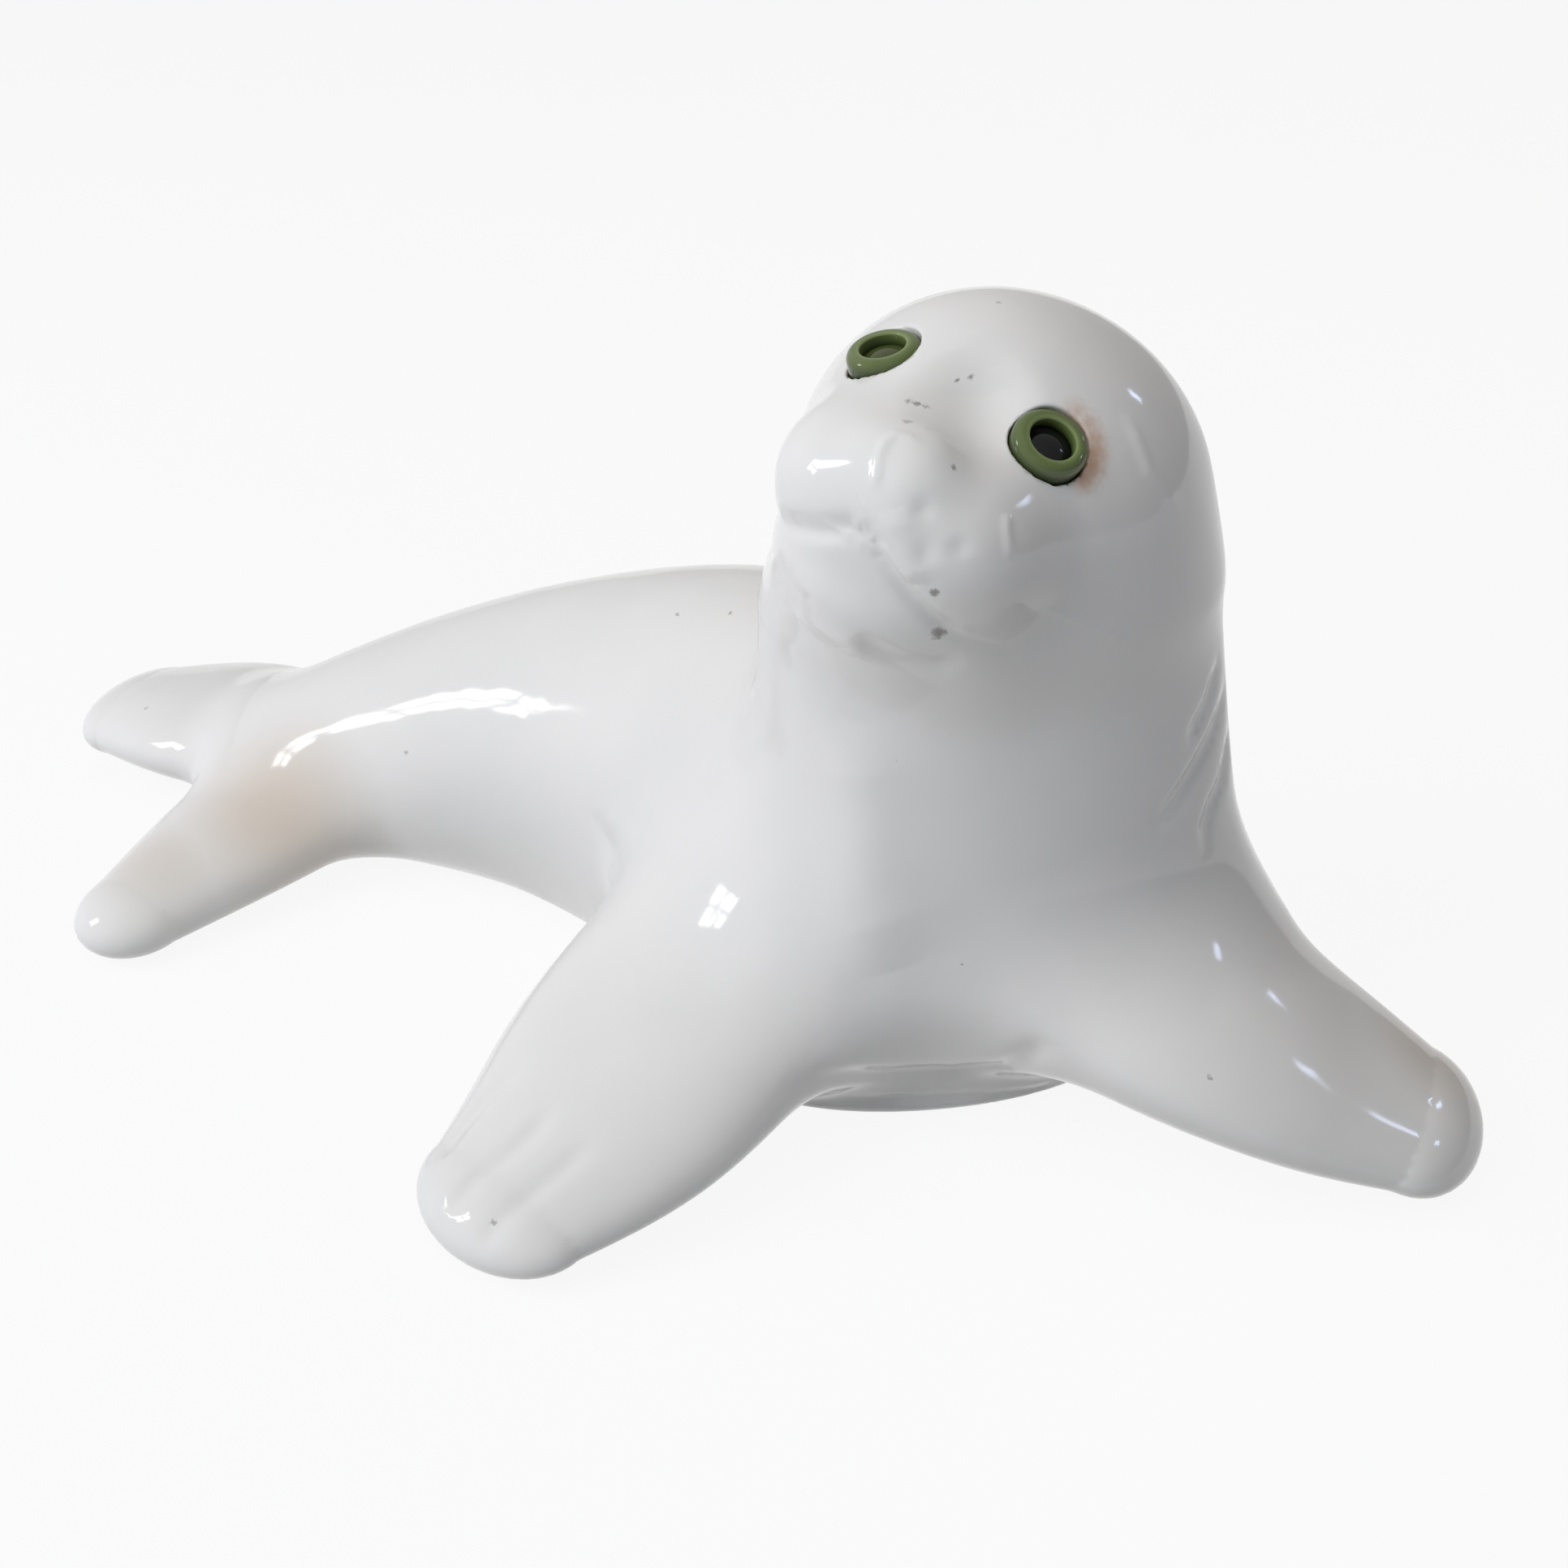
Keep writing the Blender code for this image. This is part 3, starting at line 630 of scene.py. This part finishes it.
# Glue that ran out beside the left eye: spots on an arc round it, by their angle from the camera's right
GLUE_ANGLES = (-35, -17, 0, 18, 36, 54)
GLUE_OUT, GLUE_DOWN, GLUE_SPOT, GLUE_STRENGTH = 1.15, 1.2, 4.8, 0.75
# A dark ball below each eye paints shade, in the brown of the glue, into its socket recess, and stops at the skin
SOCKET_SHADE_DOWN, SOCKET_SHADE_RADIUS = 4.5, 8.3


def glue_spots():
    """The eye's centre plus GLUE_OUT R (cos a right + sin a up), with both directions laid into the ring's plane."""
    origin, turn = eyes["left"]
    right = np.array([math.cos(VIEW_AZIMUTH), math.sin(VIEW_AZIMUTH), 0])
    right = unit(right - (right @ turn[:, 2]) * turn[:, 2])
    up = np.cross(turn[:, 2], right)
    reach = GLUE_OUT * EYE_RADIUS
    return [origin + reach * (math.cos(a) * right + math.sin(a) * up) - GLUE_DOWN * turn[:, 2]
            for a in np.radians(GLUE_ANGLES)]


def spot(tree, coordinate, centre, radius, strength, soft):
    """Strength at the centre, falling to 0 at the radius, as a node output."""
    away = add(tree, "ShaderNodeVectorMath", {"operation": "DISTANCE", 1: tuple(v * MM for v in centre)},
               {0: coordinate})
    return add(tree, "ShaderNodeMapRange", {
        "interpolation_type": "SMOOTHSTEP", "From Min": radius * MM * (1 - soft), "From Max": radius * MM,
        "To Min": strength, "To Max": 0.0,
    }, {"Value": away.outputs["Value"]}).outputs["Result"]


def strongest(tree, outputs):
    """The largest of several values."""
    result = outputs[0]
    for other in outputs[1:]:
        result = add(tree, "ShaderNodeMath", {"operation": "MAXIMUM"}, {0: result, 1: other}).outputs[0]
    return result


def mixed(tree, factor, under, over):
    """The under colour with the over colour laid on it by the factor. Each is a colour or an output."""
    node = add(tree, "ShaderNodeMix", {"data_type": "RGBA", "clamp_factor": True}, {0: factor})
    for socket, colour in ((node.inputs[6], under), (node.inputs[7], over)):
        if isinstance(colour, tuple):
            socket.default_value = colour
        else:
            tree.links.new(colour, socket)
    return node.outputs[2]


glaze, tree, output = new_material("white_glaze_on_earthenware")
place = add(tree, "ShaderNodeTexCoord").outputs["Object"]
ragged = add(tree, "ShaderNodeTexNoise", {"Scale": 900.0, "Detail": 2.0}, {"Vector": place}).outputs["Color"]
ragged = add(tree, "ShaderNodeVectorMath", {"operation": "MULTIPLY_ADD", 1: (0.002,) * 3, 2: (-0.001,) * 3},
             {0: ragged})
ragged = add(tree, "ShaderNodeVectorMath", {"operation": "ADD"}, {0: place, 1: ragged.outputs[0]}).outputs[0]
cloud = add(tree, "ShaderNodeTexNoise", {"Scale": 22.0, "Detail": 2.0}, {"Vector": place}).outputs["Fac"]
cloud_range = add(tree, "ShaderNodeMapRange", {"From Min": 0.35, "From Max": 0.65}, {"Value": cloud})
warm = strongest(tree, [spot(tree, place, *tint, 0.9) for tint in TINTS])
colour = mixed(tree, cloud_range.outputs["Result"], linear("#E4E4E1"), linear("#E9E8E5"))
colour = mixed(tree, warm, colour, linear("#CDBDAA"))
glue = strongest(tree, [spot(tree, ragged, centre, GLUE_SPOT, GLUE_STRENGTH, 0.95) for centre in glue_spots()])
colour = mixed(tree, glue, colour, linear("#C18C5C"))
specks = strongest(tree, [spot(tree, ragged, *mark, 0.6) for mark in GLAZE_MARKS])
colour = mixed(tree, specks, colour, linear("#5F5A52"))
# Painted shade in each socket recess, in the brown of the glue
sockets = [spot(tree, place, origin - SOCKET_SHADE_DOWN * turn[:, 2], SOCKET_SHADE_RADIUS, 1.0, 0.1)
           for origin, turn in eyes.values()]
colour = mixed(tree, strongest(tree, sockets), colour, linear("#7A6450"))
sags = add(tree, "ShaderNodeTexNoise", {"Scale": 28.0, "Detail": 0.0}, {"Vector": place})
swell = add(tree, "ShaderNodeBump", {"Strength": 1.0, "Distance": 0.0018}, {"Height": sags.outputs["Fac"]})
runs = add(tree, "ShaderNodeTexNoise", {"Scale": 85.0, "Detail": 1.0, "Roughness": 0.4}, {"Vector": place})
waver = add(tree, "ShaderNodeBump", {"Strength": 1.0, "Distance": 0.00022},
            {"Height": runs.outputs["Fac"], "Normal": swell.outputs["Normal"]})
haze = add(tree, "ShaderNodeMapRange", {"To Min": 0.05, "To Max": 0.12}, {"Value": cloud})
shader = add(tree, "ShaderNodeBsdfPrincipled", {"IOR": 1.52}, {
    "Base Color": colour, "Roughness": haze.outputs["Result"], "Normal": waver.outputs["Normal"],
})
tree.links.new(shader.outputs["BSDF"], output.inputs["Surface"])
casting.data.materials.append(glaze)

# %% [markdown]
# ## Green and black glass
#
# Pressed glass is coloured through and very smooth. The green is an opaque bottle green, with painted light round
# the rim of its well and painted shade down the ring's side and inside it, and the black is given a painted
# reflection of that green when it is seen at a grazing angle.

# %% Glass materials
green_glass, tree, output = new_material("pressed_green_glass")
place = add(tree, "ShaderNodeTexCoord").outputs["Object"]
streak = add(tree, "ShaderNodeTexNoise", {"Scale": 350.0, "Detail": 2.0}, {"Vector": place}).outputs["Fac"]
radius = add(tree, "ShaderNodeAttribute", {"attribute_name": "radius"}).outputs["Fac"]
height = add(tree, "ShaderNodeAttribute", {"attribute_name": "height"}).outputs["Fac"]
# Painted shade: the green darkens from the top of the ring down its side and into the well
painted_ring_shade = add(tree, "ShaderNodeMapRange", {"From Min": EYE_STANDOUT, "From Max": -1.2, "To Min": 0.0, "To Max": 1.0},
          {"Value": height}).outputs["Result"]
# Painted light: a lighter green round the rim of the well
painted_rim_light = add(tree, "ShaderNodeMapRange", {"From Min": WELL_RADIUS + 1.1, "From Max": WELL_RADIUS + 0.1},
          {"Value": radius}).outputs["Result"]
colour = mixed(tree, streak, linear("#596935"), linear("#66763F"))
colour = mixed(tree, painted_rim_light, colour, linear("#7D8D55"))
colour = mixed(tree, painted_ring_shade, colour, linear("#36431E"))
shader = add(tree, "ShaderNodeBsdfPrincipled", {"IOR": 1.52, "Roughness": 0.08}, {"Base Color": colour})
tree.links.new(shader.outputs["BSDF"], output.inputs["Surface"])

black_glass, tree, output = new_material("black_pupil_glass")
place = add(tree, "ShaderNodeTexCoord").outputs["Object"]
dust = add(tree, "ShaderNodeTexNoise", {"Scale": 900.0, "Detail": 2.0}, {"Vector": place}).outputs["Fac"]
rough = add(tree, "ShaderNodeMapRange", {"To Min": 0.03, "To Max": 0.10}, {"Value": dust}).outputs["Result"]
# Seen at a grazing angle to the eye's own axis, the black is painted olive: a painted reflection of the green wall
# round it
axis = add(tree, "ShaderNodeAttribute", {"attribute_name": "axis"}).outputs["Vector"]
painted_wall_reflection = add(tree, "ShaderNodeLayerWeight", {"Blend": 0.5}, {"Normal": axis}).outputs["Facing"]
painted_wall_reflection = add(tree, "ShaderNodeMapRange", {"From Min": 0.36, "From Max": 0.5}, {"Value": painted_wall_reflection}).outputs["Result"]
colour = mixed(tree, painted_wall_reflection, linear("#0B0C0E"), linear("#454E28"))
shader = add(tree, "ShaderNodeBsdfPrincipled", {"IOR": 1.52, "Specular IOR Level": 0.3},
             {"Base Color": colour, "Roughness": rough})
tree.links.new(shader.outputs["BSDF"], output.inputs["Surface"])
for side in eyes:
    rings[side].data.materials.append(green_glass)
    pupils[side].data.materials.append(black_glass)

# %% [markdown]
# ## Table and light
#
# The photograph is cut out on white, with daylight from windows on both sides and soft light from above. The floor
# and the world show white to the camera and to reflections, and light the object only softly. The left window is
# four panes, so its reflection in the glaze is broken up. The soft lamps light the glaze but leave no reflection.

# %% Floor
WHITE_SHARE = 0.91  # how much of the paper that is seen is plain white, and not lit matt paper
floor_mesh = bpy.data.meshes.new("floor")
floor_mesh.from_pydata([(-4, -4, 0), (4, -4, 0), (4, 4, 0), (-4, 4, 0)], [], [(0, 1, 2, 3)])
floor = bpy.data.objects.new("floor", floor_mesh)
floor.location.z = -0.0003
bpy.context.scene.collection.objects.link(floor)
paper, tree, output = new_material("white_paper")
rays = add(tree, "ShaderNodeLightPath")
seen = add(tree, "ShaderNodeMath", {"operation": "MAXIMUM"},
           {0: rays.outputs["Is Camera Ray"], 1: rays.outputs["Is Glossy Ray"]})
seen = add(tree, "ShaderNodeMath", {"operation": "MAXIMUM"},
           {0: seen.outputs[0], 1: rays.outputs["Is Transmission Ray"]})
share = add(tree, "ShaderNodeMath", {"operation": "MULTIPLY", 1: WHITE_SHARE}, {0: seen.outputs[0]})
matt = add(tree, "ShaderNodeBsdfDiffuse", {"Color": linear("#DADADA")})
white = add(tree, "ShaderNodeEmission", {"Color": (1, 1, 1, 1), "Strength": 1.0})
both = add(tree, "ShaderNodeMixShader", None,
           {0: share.outputs[0], 1: matt.outputs[0], 2: white.outputs[0]})
tree.links.new(both.outputs[0], output.inputs["Surface"])
floor_mesh.materials.append(paper)

# %% World
WINDOW_SIDE, FAR_SIDE, FILL = 1.0, 0.35, 0.05
world = bpy.data.worlds.new("studio")
bpy.context.scene.world = world
world.use_nodes = True
tree = world.node_tree
tree.nodes.clear()
rays = add(tree, "ShaderNodeLightPath")
direction = add(tree, "ShaderNodeSeparateXYZ", None, {0: add(tree, "ShaderNodeTexCoord").outputs["Generated"]})
# Reflections see the room, which is white on the window side and greyer on the far side
room = add(tree, "ShaderNodeMapRange", {"From Min": -1.0, "From Max": 1.0, "To Min": WINDOW_SIDE, "To Max": FAR_SIDE},
           {"Value": direction.outputs["X"]}).outputs["Result"]
room = add(tree, "ShaderNodeMath", {"operation": "MAXIMUM"}, {0: room, 1: rays.outputs["Is Camera Ray"]}).outputs[0]
seen = add(tree, "ShaderNodeMath", {"operation": "MAXIMUM"},
           {0: rays.outputs["Is Camera Ray"], 1: rays.outputs["Is Glossy Ray"]})
seen = add(tree, "ShaderNodeMath", {"operation": "MAXIMUM"},
           {0: seen.outputs[0], 1: rays.outputs["Is Transmission Ray"]})
fill = add(tree, "ShaderNodeBackground", {"Color": linear("#E4E8EE"), "Strength": FILL})
white = add(tree, "ShaderNodeBackground", {"Color": (1, 1, 1, 1)}, {"Strength": room})
both = add(tree, "ShaderNodeMixShader", None, {0: seen.outputs[0], 1: fill.outputs[0], 2: white.outputs[0]})
tree.links.new(both.outputs[0], add(tree, "ShaderNodeOutputWorld").inputs["Surface"])


# %% Windows and soft lamps
LAMPS_AIM = Vector((-0.05, 0.03, 0.06))


def lamp(name, azimuth, height, distance, size, power, colour, across=0.0, seen=True):
    """An area lamp that faces the object from these angles, shifted sideways. Soft ones leave no reflection."""
    a, e = math.radians(azimuth), math.radians(height)
    out = Vector((math.sin(a) * math.cos(e), -math.cos(a) * math.cos(e), math.sin(e)))
    data = bpy.data.lights.new(name, "AREA")
    data.shape = "RECTANGLE"
    data.size, data.size_y = size
    data.energy = power
    data.color = linear(colour)[:3]
    light = bpy.data.objects.new(name, data)
    light.rotation_euler = out.to_track_quat("Z", "Y").to_euler()
    light.location = LAMPS_AIM + out * distance + light.rotation_euler.to_matrix().col[0] * across
    light.visible_glossy = seen
    bpy.context.scene.collection.objects.link(light)


PANE_SPACING = 0.105
for i in range(2):
    for j in range(2):
        lamp(f"left_window_{i}_{j}", -98, 25 + 7 * j, 1.3, (0.08, 0.13), 0.33, "#FFFFFF", (i - 0.5) * PANE_SPACING)
for i, (azimuth, height) in enumerate(((110, 30), (86, 34))):
    lamp(f"right_window_{i}", azimuth, height, 1.5, (0.07, 0.13), 0.28, "#CFDDFF")
for name, azimuth, height, power, colour in (
    ("left_daylight", -70, 38, 12.4, "#F9FBFF"),
    ("left_low", -110, 12, 4.0, "#E2E5FF"),
    ("overhead", 0, 88, 4.3, "#FFF2E0"),
    ("high_front", 2, 60, 4.4, "#E9F0FF"),
    ("back_right", 130, 40, 1.2, "#FFEEDA"),
):
    lamp(name, azimuth, height, 1.5, (0.9, 0.9), power, colour, seen=False)

# %% [markdown]
# ## Put the pieces on the frame
#
# Each new piece stands for one imported solid and rides on the one body there is, and that solid is hidden. Its finish
# was given above.

# %% Replace the solids and finish
PIECES = (
    (casting, "seal_body", "glaze"),
    (rings["right"], "eye_right_iris", "eye_green"),
    (pupils["right"], "eye_right_pupil", "eye_black"),
    (rings["left"], "eye_left_iris", "eye_green"),
    (pupils["left"], "eye_left_pupil", "eye_black"),
)
for piece, node, slot in PIECES:
    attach(piece, "root")
    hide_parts(node)
